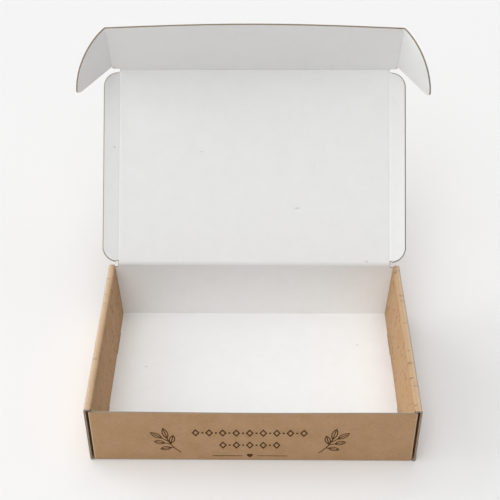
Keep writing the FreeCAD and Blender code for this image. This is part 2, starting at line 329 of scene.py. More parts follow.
def liner_material(name, base, dark, fibre, wear_and_highlight, fleck, crowded, roughness):
    """Paper liner drained on a running wire: the pulp lies in clouds, its fibres run across the flutes,
    recycled flecks drift in it, the flutes press through as a faint washboard, and creases rub it light,
    which on the tray's top folds and rolled strip is also a painted highlight. All of it is matt, the white
    liner a little less so."""
    material, tree = new_material(name)
    wave, parts = flute_wave(tree)
    clouds = add(
        tree, "TexNoise", {"Scale": 1 / CLOUD, "Detail": 5.0, "Roughness": 0.62},
        {"Vector": on_blank(tree)},
    )
    cloudy = add(tree, "ValToRGB", {"stops": [(0.36, NONE), (0.66, FULL)]}, {0: clouds})
    colour = add(
        tree, "Mix", {"data_type": "RGBA", UNDER: linear(dark), OVER: linear(base)}, {FACTOR: cloudy},
    ).outputs[MIXED]
    # fibres are 0.03 mm wide and up to 3 mm long, too fine to show, so bundles of them are drawn
    fibres = add(
        tree, "TexNoise", {"Scale": 1 / FIBRE_BUNDLE, "Detail": 3.0, "Roughness": 0.6},
        {"Vector": on_blank(tree, FIBRE_STRETCH)},
    )
    streaks = add(tree, "ValToRGB", {"stops": [(0.52, NONE), (0.74, (0.55, 0.55, 0.55, 1))]}, {0: fibres})
    colour = add(
        tree, "Mix", {"data_type": "RGBA", OVER: linear(fibre)}, {FACTOR: streaks, UNDER: colour},
    ).outputs[MIXED]
    colour = add(
        tree, "Mix", {"data_type": "RGBA", OVER: linear(fleck)},
        {FACTOR: flecks(tree, parts, crowded), UNDER: colour},
    ).outputs[MIXED]
    # creases are rubbed through to lighter fibre; on the tray's top folds and rolled strip the same
    # lightening is also a painted highlight
    grain = add(
        tree, "TexNoise", {"Scale": 1 / RUBBED_GRAIN, "Detail": 2.0, "Roughness": 0.7},
        {"Vector": on_blank(tree)},
    )
    rub = add(tree, "Math", {"operation": "MULTIPLY_ADD", 1: 0.9, 2: 0.12}, {0: grain})
    crease = add(tree, "Attribute", {"attribute_name": "fold"})
    rubbed_and_highlit = add(tree, "Math", {"operation": "MULTIPLY"}, {0: crease.outputs["Fac"], 1: rub})
    colour = add(
        tree, "Mix", {"data_type": "RGBA", OVER: linear(wear_and_highlight)}, {FACTOR: rubbed_and_highlit, UNDER: colour},
    ).outputs[MIXED]
    rough = add(tree, "Math", {"operation": "ADD"}, {0: grain, 1: fibres})
    height = add(tree, "Math", {"operation": "ADD"}, {0: wave, 1: rough})
    bump = add(tree, "Bump", {"Strength": 0.35, "Distance": WASHBOARD_DEPTH}, {"Height": height})
    shader = add(
        tree, "BsdfPrincipled", {"Roughness": roughness, "Specular IOR Level": 0.25},
        {"Base Color": colour, "Normal": bump},
    )
    add(tree, "OutputMaterial", links={"Surface": shader})
    return material


def cut_edge_material():
    """Edge of E-flute board under the die's knife: two liners with the fluting's wave between them, its
    hollows painted dark as shade, and torn fibre that makes it all paler and greyer than the brown liner's
    face."""
    material, tree = new_material("corrugated_board_cut_edge")
    wave, parts = flute_wave(tree)
    wave_high = (HALF - LINER * WAVE_INSET) * METRE
    middle = add(tree, "Math", {"operation": "MULTIPLY", 1: wave_high}, {0: wave})
    off = add(tree, "Math", {"operation": "SUBTRACT"}, {0: parts.outputs["Z"], 1: middle})
    away = add(tree, "Math", {"operation": "ABSOLUTE"}, {0: off})
    fluting = add(tree, "Math", {"operation": "LESS_THAN", 1: FLUTING_HALF}, {0: away})
    deep = add(tree, "Math", {"operation": "ABSOLUTE"}, {0: parts.outputs["Z"]})
    liner = add(tree, "Math", {"operation": "GREATER_THAN", 1: (HALF - LINER) * METRE}, {0: deep})
    skin = add(
        tree, "Math", {"operation": "GREATER_THAN", 1: (HALF - WHITE_SKIN) * METRE},
        {0: parts.outputs["Z"]},
    )
    # between the fluting's wave the open hollows are painted dark as shade
    inside = add(
        tree, "Mix", {"data_type": "RGBA", UNDER: linear(FLUTE_HOLLOW_SHADE_HEX), OVER: linear(CUT_FLUTING_HEX)},
        {FACTOR: fluting},
    ).outputs[MIXED]
    faces = add(
        tree, "Mix", {"data_type": "RGBA", UNDER: linear(CUT_LINER_HEX), OVER: linear(WHITE_DARK_HEX)},
        {FACTOR: skin},
    ).outputs[MIXED]
    colour = add(
        tree, "Mix", {"data_type": "RGBA"}, {FACTOR: liner, UNDER: inside, OVER: faces},
    ).outputs[MIXED]
    torn = add(tree, "TexNoise", {"Scale": 1 / TORN_GRAIN, "Detail": 3.0}, {"Vector": on_blank(tree)})
    fuzz = add(tree, "Math", {"operation": "MULTIPLY", 1: 0.6}, {0: torn})
    colour = add(
        tree, "Mix", {"data_type": "RGBA", OVER: linear(CUT_FLUTING_HEX)}, {FACTOR: fuzz, UNDER: colour},
    ).outputs[MIXED]
    solid = add(tree, "Math", {"operation": "MAXIMUM"}, {0: fluting, 1: liner})
    bump = add(tree, "Bump", {"Strength": 0.8, "Distance": FLUTE_DEPTH}, {"Height": solid})
    shader = add(
        tree, "BsdfPrincipled", {"Roughness": 0.95, "Specular IOR Level": 0.15},
        {"Base Color": colour, "Normal": bump},
    )
    add(tree, "OutputMaterial", links={"Surface": shader})
    return material


def ink_material():
    """Flexographic ink on kraft: it soaks into the paper's grain, so it is matt and a little uneven."""
    material, tree = new_material("flexo_printing_ink")
    soak = add(
        tree, "TexNoise", {"Scale": 1 / INKED_GRAIN, "Detail": 4.0, "Roughness": 0.7},
        {"Vector": on_blank(tree)},
    )
    stops = [(0.4, linear(INK_HEX)), (0.72, linear(INK_THIN_HEX))]
    thin = add(tree, "ValToRGB", {"stops": stops}, {0: soak})
    shader = add(
        tree, "BsdfPrincipled", {"Roughness": 0.85, "Specular IOR Level": 0.2}, {"Base Color": thin},
    )
    add(tree, "OutputMaterial", links={"Surface": shader})
    return material


def floor_material():
    """Matt painted board under the box, plain and pale, on which a soft shadow shows."""
    material, tree = new_material("matt_white_floor")
    settings = {"Base Color": linear(FLOOR_HEX), "Roughness": 0.9, "Specular IOR Level": 0.1}
    add(tree, "OutputMaterial", links={"Surface": add(tree, "BsdfPrincipled", settings)})
    return material


KRAFT = liner_material(
    "kraft_liner_brown", KRAFT_HEX, KRAFT_DARK_HEX, KRAFT_FIBRE_HEX, KRAFT_WEAR_AND_HIGHLIGHT_HEX, KRAFT_FLECK_HEX,
    crowded=0.7, roughness=0.82,
)
WHITE = liner_material(
    "bleached_liner_white", WHITE_HEX, WHITE_DARK_HEX, WHITE_FIBRE_HEX, WHITE_FIBRE_HEX, WHITE_FLECK_HEX,
    crowded=0.3, roughness=0.72,
)
EDGE = cut_edge_material()
INK = ink_material()
OUTSIDE, INSIDE, CUT = 0, 1, 2


# Cutting the blank.


def flat_patch(points):
    """A flat face from its corner points."""
    bm = bmesh.new()
    bm.faces.new([bm.verts.new((x, y, 0)) for x, y in points])
    return bm


def cut(bm, at, normal, **dropped):
    """Cuts a sheet along a plane through a point. dropped may name the side that falls off."""
    sheet = bm.verts[:] + bm.edges[:] + bm.faces[:]
    bmesh.ops.bisect_plane(bm, geom=sheet, plane_co=at, plane_no=normal, dist=TOUCHING, **dropped)


def slice_at(bm, axis, places):
    """Cuts a sheet along lines of constant x (axis 0) or y (axis 1)."""
    normal = (1, 0, 0) if axis == 0 else (0, 1, 0)
    for place in places:
        cut(bm, (place, 0, 0) if axis == 0 else (0, place, 0), normal)


def spread(start, end, step=GRID):
    """Evenly spaced places between two ends, both left out."""
    count = max(1, round(abs(end - start) / step))
    return [start + (end - start) * i / count for i in range(1, count)]


def bend_lines(start, arc=ARC):
    """The lines across a bend, both its ends among them."""
    return [start + arc * i / BEND_STEPS for i in range(BEND_STEPS + 1)]


def drop_window(bm, x, y, half_x, half_y):
    """Cuts a rectangular window around a place."""
    x0, x1, y0, y1 = x - half_x, x + half_x, y - half_y, y + half_y
    slice_at(bm, 0, (x0, x1))
    slice_at(bm, 1, (y0, y1))
    middles = [(f, f.calc_center_median()) for f in bm.faces]
    inside = [f for f, at in middles if x0 < at.x < x1 and y0 < at.y < y1]
    bmesh.ops.delete(bm, geom=inside, context="FACES")


def move_into(whole, part):
    """Puts one flat sheet's faces into another, and drops the first."""
    mesh = bpy.data.meshes.new("part")
    part.to_mesh(mesh)
    part.free()
    whole.from_mesh(mesh)
    bpy.data.meshes.remove(mesh)


def shown(name, data):
    """A new object of the scene."""
    made = bpy.data.objects.new(name, data)
    bpy.context.scene.collection.objects.link(made)
    return made


def crush(bm, top, free, amount):
    """The knife pushes the white side in along a free edge, so that the cut slopes a little. At a sharp
    corner the push is held to twice the amount."""
    upright, held = 0.1, 0.5
    moves = {}
    for v in bm.verts:
        if abs(v.co.z - top) < TOUCHING:
            walls = [
                f.normal.copy() for f in v.link_faces
                if abs(f.normal.z) < upright and free(f.calc_center_median())
            ]
            if walls:
                out = sum(walls, Vector()).normalized()
                moves[v] = out * (amount / max(held, out.dot(walls[0])))
    for v, step in moves.items():
        v.co -= step
    bm.normal_update()


def board(
    bm, name, body, fold, nodes=(), wear_and_highlight=None, shade_as_kraft=None, free=None, crushed=CRUSH,
    low=-HALF, high=HALF, materials=(KRAFT, WHITE, EDGE),
):
    """Gives a flat sheet its thickness and materials, folds it, and makes it a piece that rides on a body,
    or on none yet. The wear argument gives how rubbed a place is, which on the tray's top folds and rolled
    strip is also a painted highlight. The shade argument tells where the inner side shows the brown liner in
    place of its white skin, as painted shade; free tells where an edge was crushed by the knife."""
    # a face that leans further than this from the flat sheet is a cut edge
    level = 0.6
    bmesh.ops.translate(bm, verts=bm.verts[:], vec=(0, 0, low))
    made = bmesh.ops.extrude_face_region(bm, geom=bm.faces[:])
    raised = [v for v in made["geom"] if isinstance(v, bmesh.types.BMVert)]
    bmesh.ops.translate(bm, verts=raised, vec=(0, 0, high - low))
    bmesh.ops.recalc_face_normals(bm, faces=bm.faces[:])
    bm.normal_update()
    if free:
        crush(bm, high, free, crushed)
    for f in bm.faces:
        f.smooth = True
        f.material_index = INSIDE if f.normal.z > level else OUTSIDE if f.normal.z < -level else CUT
        # the hollow of the rolled sides gets the brown liner in place of its white skin, as painted shade
        if f.material_index == INSIDE and shade_as_kraft and shade_as_kraft(f.calc_center_median()):
            f.material_index = OUTSIDE
    for e in bm.edges:
        e.smooth = len({f.material_index for f in e.link_faces}) == 1
    # the materials read these two on the folded piece
    flat = bm.verts.layers.float_vector.new("blank")
    crease = bm.verts.layers.float.new("fold")
    for v in bm.verts:
        v[flat] = v.co.copy()
        v[crease] = wear_and_highlight(v.co) if wear_and_highlight else 0.0
        v.co = fold(v.co.copy())
    mesh = bpy.data.meshes.new(name)
    bm.to_mesh(mesh)
    bm.free()
    for material in materials:
        mesh.materials.append(material)
    piece = shown(name, mesh)
    if nodes:
        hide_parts(*nodes)
    if body:
        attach(piece, body)
    return piece


# Folding.


def ahead(heading):
    return Vector((math.cos(heading), math.sin(heading)))


def left_of(heading):
    return Vector((-math.sin(heading), math.cos(heading)))


def along(distance, height, bends):
    """Where a point of a folded sheet lies, as (forward, up) from its first bend. distance runs along the
    sheet from there, height out of its middle. A bend is (its angle, the straight run after it)."""
    place, heading = Vector((0.0, 0.0)), 0.0
    for angle, run in bends if distance > 0 else ():
        centre = place + left_of(heading) * FOLD_RADIUS
        arc = FOLD_RADIUS * angle
        if distance <= arc:
            now = heading + distance / FOLD_RADIUS
            return centre - left_of(now) * FOLD_RADIUS + left_of(now) * height
        distance -= arc
        heading += angle
        place = centre - left_of(heading) * FOLD_RADIUS
        if distance <= run:
            break
        distance -= run
        place = place + ahead(heading) * run
    return place + ahead(heading) * distance + left_of(heading) * height


def hump(value, low, high):
    """Zero with no slope at both ends, one in the middle."""
    t = min(1, max(0, (value - low) / (high - low)))
    return math.sin(math.pi * t) ** 2


def fold_side(p, side):
    """The outer side panel, the strip rolled over its top, and the inner side panel."""
    x, height = abs(p.x), p.z
    across = math.cos(p.y / DEPTH * math.pi) ** 2
    if OUTER_START < x < OUTER_END:
        height -= OUTER_BOW * hump(x, OUTER_START, OUTER_END) * across
    if x > INNER_START:
        height -= INNER_BOW * hump(x, INNER_START, TAB_END) * (INNER_BOW_ENDS + across)
    forward, up = along(x - BEND_X, height, SIDE_BENDS)
    return Vector((side * (BEND_X + forward), p.y, HALF + up))


def fold_wall(p, side, end):
    """The front (end -1) or back (end 1) wall, and the corner flap that turns in at its side."""
    x, y, height = abs(p.x), abs(p.y), p.z
    if x < WALL_END and y > WALL_START:
        top = FRONT_EDGE_Y if end < 0 else HINGE_BLANK_Y
        risen = min(1, (y - WALL_START) / (top - WALL_START))
        across = math.cos(min(1, x / WALL_END) * QUARTER) ** 2
        if end < 0:
            height -= FRONT_WALL_BOW * across * math.sin(risen * QUARTER) ** 2
        else:
            height -= BACK_WALL_BOW * across * math.sin(risen * math.pi) ** 2
    forward, up = along(y - BEND_Y, height, WALL_BENDS)
    if x <= WALL_END:
        return Vector((p.x, end * (BEND_Y + forward), HALF + up))
    outward, inward = along(x - WALL_END, p.z, WALL_BENDS)
    return Vector((side * (WALL_END + outward), end * (WALL_FACE - inward), HALF + up))


def fold_tray(p):
    """The tray's part of the blank, folded up."""
    side, end = (1 if p.x > 0 else -1), (1 if p.y > 0 else -1)
    if abs(p.x) > SIDE_START and abs(p.y) < REGION_Y:
        return fold_side(p, side)
    if abs(p.y) > BEND_Y:
        return fold_wall(p, side, end)
    return Vector((p.x, p.y, HALF + p.z))


# Where the lid's creases are, from the frame's joints. A panel's direction runs from its crease to its free
# edge, and its inner side is the one with the white liner.

JOINTS = {j["name"]: j for j in frame["joints"]}
X_AXIS = Vector((1, 0, 0))
Z_AXIS = Vector((0, 0, 1))
WALL_INNER = Vector((0, -1, 0))
LID_AT = Vector(JOINTS["lid_hinge"]["pos_m"])
FLAP_AT = Vector(JOINTS["front_flap_fold"]["pos_m"])
LID_LONG = (FLAP_AT - LID_AT).length
LID_WAY = (FLAP_AT - LID_AT).normalized()
LID_INNER = X_AXIS.cross(LID_WAY)
FLAP_WAY = Vector(JOINTS["right_ear_fold"]["axis"]).normalized()
FLAP_INNER = X_AXIS.cross(FLAP_WAY)
FLAP_BLANK_Y = HINGE_BLANK_Y + LID_LONG


def lid_line(p):
    return p.x, p.y - HINGE_BLANK_Y


def flap_line(p):
    return p.x, p.y - FLAP_BLANK_Y


def folded_out(side, joint, inner):
    """The direction of a flap that is folded inwards at the right (1) or left (-1) of a panel, and the
    normal of its inner side. A joint's range ends flat, so its upper limit is how far it is folded at
    rest."""
    angle = math.radians(JOINTS[joint]["range_deg"][1])
    away = X_AXIS * side
    out = away * math.cos(angle) + inner * math.sin(angle)
    return out, inner * math.cos(angle) - away * math.sin(angle)


def bowed_panel(origin, way, inner, line, low, high, amount):
    """Folds a flat panel onto its plane, with a slow bulge to its outer side, highest in the middle of a
    rectangle of the blank. line turns flat coordinates into (along the crease, away from it)."""
    def fold(p):
        u, s = line(p)
        lift = amount * hump(p.x, low[0], high[0]) * hump(p.y, low[1], high[1])
        return origin + X_AXIS * u + way * s + inner * p.z - inner * lift
    return fold


def curled_flap(side, joint, at, way, inner, half, foot, curl, wide):
    """Folds a flap out from the side edge of a panel, half its width from its middle, with a curl that
    grows towards the flap's free edge. foot is where the panel starts on the blank."""
    out, out_inner = folded_out(side, joint, inner)
    corner = at + X_AXIS * side * half

    def fold(p):
        u = abs(p.x) - half
        lift = curl * max(0, (u - CREASE_REACH) / wide) ** 2
        return corner + out * u + way * (p.y - foot) + out_inner * (p.z + lift)
    return fold


# The tray.


def corner_flap(side, end, top):
    """A flap at the end of the front or back wall, trapped between the side panels."""
    long = CORNER_FRONT if end < 0 else CORNER_BACK
    root, tip = CORNER_START + CORNER_ROOT, CORNER_START + long - FOLD_RADIUS
    low = FOOT_Y + CORNER_FOOT
    edge = [
        (WALL_END, low), (root, low), (tip, low + CORNER_TAPER), (tip, top - CORNER_TAPER), (root, top),
        (WALL_END, top),
    ]
    flap = flat_patch([(side * x, end * y) for x, y in edge])
    tips = [v for v in flap.verts if abs(abs(v.co.x) - tip) < NEAR]
    bmesh.ops.bevel(
        flap, geom=tips, offset=CORNER_ROUND, segments=5, profile=0.5, affect="VERTICES", material=-1,
    )
    slice_at(flap, 0, [side * x for x in bend_lines(WALL_END)[1:] + spread(root, tip)])
    slice_at(flap, 1, [end * y for y in spread(WALL_START, top)])
    return flap


def tray_sheet():
    """The tray's part of the blank, as one flat sheet."""
    x_cuts = spread(-WALL_END, WALL_END)
    y_cuts = spread(-BEND_Y, BEND_Y)
    slot_reach = TAB_LONG / 2 + TAB_SLOT_END
    tab_lines = [end * (TAB_Y + t * TAB_LONG / 2) for end in (-1, 1) for t in (-1, 1)]
    slot_lines = [end * (TAB_Y + t * slot_reach) for end in (-1, 1) for t in (-1, 1)]

    floor = flat_patch([
        (-SIDE_START, -BEND_Y), (SIDE_START, -BEND_Y), (SIDE_START, BEND_Y), (-SIDE_START, BEND_Y),
    ])
    slice_at(floor, 0, x_cuts + [-WALL_END, WALL_END])
    slice_at(floor, 1, y_cuts + tab_lines)
    for side in (-1, 1):
        for end in (-1, 1):
            drop_window(floor, side * INNER_FOOT_X, end * TAB_Y, TAB_SLOT_SIDE, slot_reach)
    patches = [floor]

    # each side rolls over from the floor's edge to the inner panel's foot, and has two tabs there
    rows = bend_lines(BEND_X) + bend_lines(OUTER_END) + bend_lines(INNER_START, -FOLD_RADIUS * ROLL_TURN)
    rows += spread(OUTER_START, OUTER_END) + spread(INNER_START, PANEL_END)
    notched = INNER_START - NOTCH_IN
    edge = [
        (SIDE_START, -DEPTH / 2), (notched, -DEPTH / 2), (notched, -NOTCH), (PANEL_END, -NOTCH),
        (PANEL_END, NOTCH), (notched, NOTCH), (notched, DEPTH / 2), (SIDE_START, DEPTH / 2),
    ]
    for side in (-1, 1):
        sheet = flat_patch([(side * x, y) for x, y in edge])
        slice_at(sheet, 0, [side * x for x in rows])
        slice_at(sheet, 1, y_cuts + tab_lines + slot_lines + [-BEND_Y, BEND_Y])
        patches.append(sheet)
        for end in (-1, 1):
            y0, y1 = end * TAB_Y - TAB_LONG / 2, end * TAB_Y + TAB_LONG / 2
            tab = flat_patch([
                (side * PANEL_END, y0), (side * TAB_END, y0 + TAB_TAPER),
                (side * TAB_END, y1 - TAB_TAPER), (side * PANEL_END, y1),
            ])
            slice_at(tab, 1, y_cuts)
            patches.append(tab)

    for end in (-1, 1):
        top = FRONT_EDGE_Y if end < 0 else BACK_SHOULDER_Y
        wall = flat_patch([(x, end * y) for x, y in (
            (-WALL_END, BEND_Y), (WALL_END, BEND_Y), (WALL_END, top), (-WALL_END, top),
        )])
        slice_at(wall, 0, x_cuts + ([-HINGE_STRIP, HINGE_STRIP] if end > 0 else []))
        rows = bend_lines(BEND_Y) + spread(WALL_START, top) + [FOOT_Y + CORNER_FOOT]
        slice_at(wall, 1, [end * y for y in rows])
        patches.append(wall)
        if end > 0:
            neck = HINGE_BLANK_Y - CREASE_REACH
            rise = flat_patch([
                (-HINGE_STRIP, top), (HINGE_STRIP, top), (HINGE_STRIP, neck), (-HINGE_STRIP, neck),
            ])
            slice_at(rise, 0, x_cuts)
            patches.append(rise)
        patches += [corner_flap(side, end, top) for side in (-1, 1)]

    whole = bmesh.new()
    for patch in patches:
        move_into(whole, patch)
    bmesh.ops.remove_doubles(whole, verts=whole.verts[:], dist=NEAR)
    return whole


def tray_wear_and_highlight(p):
    """How rubbed a place of the tray is, which is also a painted highlight: one on the outer folds, less
    across the rolled top inwards.
    """
    x, y = abs(p.x), abs(p.y)
    if y >= REGION_Y:
        return math.sin((x - WALL_END) / ARC * math.pi) if WALL_END < x < CORNER_START else 0.0
    if OUTER_END < x < STRIP_START:
        return math.sin((x - OUTER_END) / ARC * QUARTER)
    if STRIP_START <= x < INNER_START:
        return ROLL_RUB_AND_HIGHLIGHT * (INNER_START - x) / (INNER_START - STRIP_START)
    for start, place in ((BEND_X, x), (BEND_Y, y)):
        if start < place < start + ARC:
            return FOOT_RUB * math.sin((place - start) / ARC * math.pi)
    return 0.0


def hollow_shade_as_kraft(p):
    """The hollow of the rolled sides, which shows only through the ear slots, gets the brown liner inside in
    place of the white skin, as painted shade.
    """
    return WALL_END < abs(p.x) < INNER_START and abs(p.y) < REGION_Y


# The lid and its flaps.


def lid_panel():
    x1 = LID_HALF - CREASE_REACH
    y0, y1 = HINGE_BLANK_Y + CREASE_REACH, FLAP_BLANK_Y - CREASE_REACH
    sheet = flat_patch([(-x1, y0), (x1, y0), (x1, y1), (-x1, y1)])
    slice_at(sheet, 0, spread(-x1, x1))
    slice_at(sheet, 1, spread(y0, y1))
    fold = bowed_panel(LID_AT, LID_WAY, LID_INNER, lid_line, (-x1, y0), (x1, y1), LID_BOW)
    board(sheet, "lid_board", "lid_panel", fold, ["lid_panel"])


def front_flap():
    """The tuck-front flap, a little wider than the lid, with a free edge that is bowed outwards."""
    x_in, x_out = FLAP_HALF - CREASE_REACH, FLAP_HALF
    y0, y1 = FLAP_BLANK_Y + CREASE_REACH, FLAP_BLANK_Y + FLAP_HIGH
    low, root = FLAP_BLANK_Y + FLAP_STEP_Y, FLAP_BLANK_Y + EAR_START
    sheet = flat_patch([
        (-FLAP_STEP_X, y0), (FLAP_STEP_X, y0), (FLAP_STEP_X, low), (x_out, low), (x_out, root),
        (x_in, root), (x_in, y1), (-x_in, y1), (-x_in, root),
        (-x_out, root), (-x_out, low), (-FLAP_STEP_X, low),
    ])
    slice_at(sheet, 0, spread(-x_in, x_in) + [-x_in, x_in])
    slice_at(sheet, 1, spread(y0, y1) + [y0, root])
    for v in sheet.verts:
        if v.co.y > root and abs(v.co.x) < x_in:
            v.co.y = root + (v.co.y - root) * (1 + FLAP_BOW / (y1 - root) * (1 - (v.co.x / x_in) ** 2))
    # the bulge goes on growing up to the free edge
    high = (x_in, 2 * y1 - y0)
    fold = bowed_panel(FLAP_AT, FLAP_WAY, FLAP_INNER, flap_line, (-x_in, y0), high, FLAP_BULGE)

    def free(p):
        at_crease = abs(p.y - y0) < NEAR and abs(p.x) < FLAP_STEP_X
        at_ear = abs(abs(p.x) - x_in) < NEAR and p.y > root
        return not at_crease and not at_ear
    board(sheet, "front_flap_board", "front_flap", fold, ["front_flap"], free=free)


def ear(side, name):
    """A rounded ear: a quarter of an oval, cut off along the crease strip and, a little rising, along the
    lid."""
    bm = bmesh.new()
    bmesh.ops.create_circle(bm, cap_ends=True, segments=EAR_SIDES, radius=1.0)
    bmesh.ops.scale(bm, vec=(EAR_REACH, FLAP_HIGH, 1), verts=bm.verts[:])
    cut(bm, (CREASE_REACH, 0, 0), (1, 0, 0), clear_inner=True)
    rise = math.atan2(EAR_TAPER, EAR_REACH)
    cut(bm, (0, EAR_START, 0), (-math.sin(rise), math.cos(rise), 0), clear_inner=True)
    # the tip is rounded by cuts that touch a circle lying against the oval and the lower edge
    middle = Vector((0, EAR_START + EAR_TAPER + EAR_TIP, 0))
    middle.x = EAR_REACH * math.sqrt(1 - (middle.y / FLAP_HIGH) ** 2) - EAR_TIP
    for degrees in EAR_TIP_CUTS:
        out = ahead(math.radians(degrees)).to_3d()
        cut(bm, middle + out * EAR_TIP, out, clear_outer=True)
    slice_at(bm, 0, spread(CREASE_REACH, EAR_REACH, EAR_GRID))
    slice_at(bm, 1, spread(EAR_START, FLAP_HIGH, EAR_GRID))
    for v in bm.verts:
        v.co = Vector((side * (FLAP_HALF + v.co.x), FLAP_BLANK_Y + v.co.y, 0))
    if side < 0:
        bmesh.ops.reverse_faces(bm, faces=bm.faces[:])
    fold = curled_flap(
        side, name + "_ear_fold", FLAP_AT, FLAP_WAY, FLAP_INNER, FLAP_HALF, FLAP_BLANK_Y,
        EAR_CURL, EAR_REACH,
    )
    board(
        bm, name + "_ear_board", name + "_ear", fold, [name + "_ear"],
        free=lambda p: abs(p.x) > FLAP_HALF + CREASE_REACH + NEAR,
    )


def side_flap(side, name):
    """A narrow dust flap with rounded ends along the lid's side."""
    x0, x1 = LID_HALF + CREASE_REACH, LID_HALF + SIDE_FLAP_WIDE
    y0, y1 = HINGE_BLANK_Y + SIDE_FLAP_REAR, FLAP_BLANK_Y - SIDE_FLAP_FRONT
    # the rounded ends start on the crease strip, so they are cut from the whole flap first
    root = LID_HALF + SIDE_FLAP_ROOT
    sheet = flat_patch([(side * x, y) for x, y in ((root, y0), (x1, y0), (x1, y1), (root, y1))])
    tips = [v for v in sheet.verts if abs(abs(v.co.x) - x1) < NEAR]
    bmesh.ops.bevel(
        sheet, geom=tips, offset=SIDE_FLAP_ROUND, segments=14, profile=0.5, affect="VERTICES", material=-1,
    )
    cut(sheet, (side * x0, 0, 0), (side, 0, 0), clear_inner=True)
    slice_at(sheet, 0, [side * x for x in spread(x0, x1, SIDE_FLAP_GRID)])
    slice_at(sheet, 1, spread(y0, y1))
    fold = curled_flap(
        side, name + "_side_flap_fold", LID_AT, LID_WAY, LID_INNER, LID_HALF, HINGE_BLANK_Y,
        SIDE_FLAP_CURL, SIDE_FLAP_WIDE,
    )
    board(
        sheet, name + "_side_flap_board", name + "_side_flap", fold, [name + "_side_flap"],
        free=lambda p: abs(p.x) > x0 + NEAR, crushed=SIDE_FLAP_CRUSH,
    )


# The strips along the creases, which bend between two bodies.


def crease_strip(name, at, across, ways, inners, ends, line, unline, open_end=None):
    """A strip of board along a crease that runs across through a point. ways are the directions into the
    crease on the first body and out of it on the second, inners those out of the white side. ends are the
    strip's ends along the crease. line gives (along, away) of a flat point, unline turns it back. open_end
    tells where the strip's ends are free edges of the board."""
    (way_in, way_out), (inner_in, inner_out) = ways, inners
    turn = math.atan2(inner_in.dot(way_out), way_in.dot(way_out))
    hand = math.copysign(1, turn)
    back = CREASE_RADIUS * math.tan(abs(turn) / 2)
    first, last = ends

    def spot(u, s):
        return Vector((*unline(u, s), 0))

    corners = ((first, -CREASE_REACH), (last, -CREASE_REACH), (last, CREASE_REACH), (first, CREASE_REACH))
    sheet = flat_patch([unline(u, s) for u, s in corners])
    lines = [mm(s) for s in CREASE_LINES]
    for s in [-s for s in reversed(lines)] + [0] + lines:
        start = spot(first, s)
        cut(sheet, start, (spot(last, s) - start).cross(Z_AXIS))
    for u in spread(first, last):
        start = spot(u, 0)
        cut(sheet, start, spot(u + mm(1), 0) - start)

    def fold(p):
        u, s = line(p)
        height = p.z
        if height > 0:
            height -= SCORE_DEPTH * math.exp(-((s / SCORE_WIDTH) ** 2))
        base = at + across * u
        if s <= -back:
            return base + way_in * s + inner_in * height
        if s >= back:
            return base + way_out * s + inner_out * height
        bend = (s / back + 1) / 2 * turn
        centre = base - way_in * back + inner_in * hand * CREASE_RADIUS
        out = inner_in * math.cos(bend) - way_in * math.sin(bend)
        return centre - out * (hand * CREASE_RADIUS) + out * height

    def wear_and_highlight(p):
        return CREASE_RUB * math.exp(-((line(p)[1] / CREASE_RUB_WIDTH) ** 2))

    def free(p):
        u, s = line(p)
        return abs(s) < CREASE_REACH - NEAR and (open_end is None or open_end(u, s))

    piece = board(sheet, name, None, fold, wear_and_highlight=wear_and_highlight, free=free)
    # the turn ends short of the strip's edges by what the board's thickness takes up
    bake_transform(piece)


def edge_crease(side, name, joint, at, way, inner, half, foot, ends, open_end):
    """The crease at a panel's right (1) or left (-1) edge, half the panel's width from its middle. foot is
    where the panel starts on the blank."""
    out, out_inner = folded_out(side, joint, inner)
    crease_strip(
        name, at + X_AXIS * side * half, way, (X_AXIS * side, out), (inner, out_inner), ends,
        lambda p: (p.y - foot, abs(p.x) - half), lambda u, s: (side * (half + s), foot + u), open_end,
    )


# The print on the front wall: fields of ink of a hair's thickness, just clear of the board.

PRINT_LIFT = mm(0.05)
PRINT_THICK = mm(0.03)
PRINT_SHIFT = mm(-2.7)

# the left sprig's stem, and each leaf's foot, tip and share of stalk, as (x, z) in millimetres on the wall
STEM = ((-62.8, 11.2), (-66.2, 14.4), (-69.7, 18.9), (-72.4, 23.4), (-74.4, 28.5))
LEAVES = (
    ((-74.4, 28.0), (-78.2, 45.0), 0.1),
    ((-73.8, 26.3), (-90.2, 38.8), 0.32),
    ((-72.0, 22.3), (-69.2, 35.4), 0.06),
    ((-72.2, 22.7), (-87.4, 26.6), 0.3),
    ((-69.4, 18.4), (-82.0, 15.8), 0.14),
)
SPRIG_LINE = mm(1.0)
LEAF_WIDE = mm(5.8)
LEAF_SIDES = 20
MIDRIB = 0.85

RULE_Z = mm(6.8)
RULE_START = mm(6.8)
RULE_END = mm(34.6)
RULE_LINE = mm(0.75)
HEART_SIZE = mm(5.6)
HEART_SIDES = 28

# each row's height on the wall and its number of lozenges
BORDER_ROWS = ((mm(38.6), 9), (mm(21.8), 5))
BORDER_PITCH = mm(12.2)
BORDER_LINE = mm(1.4)
LOZENGE_WIDE = 0.6 * BORDER_PITCH
LOZENGE_TALL = mm(10.4)
DOT = 0.18 * BORDER_PITCH
DOT_SIDES = 12


def wall_point(x, z):
    """A point of the front wall's face, by its place and its height, on the blank."""
    return x + PRINT_SHIFT, -(FOOT_Y + z)


def print_piece(bm, name):
    bmesh.ops.remove_doubles(bm, verts=bm.verts[:], dist=TOUCHING)
    slice_at(bm, 0, spread(-WALL_END, WALL_END))
    high = -HALF - PRINT_LIFT
    board(bm, name, "tray", fold_tray, low=high - PRINT_THICK, high=high, materials=(INK, INK, INK))


def stroke(bm, points, width):
    """A line of even width through points on the wall."""
    for start, end in zip(points, points[1:]):
        side = (end - start).orthogonal().normalized() * width / 2
        corners = (start + side, end + side, end - side, start - side)
        bm.faces.new([bm.verts.new((*wall_point(*corner), 0)) for corner in corners])


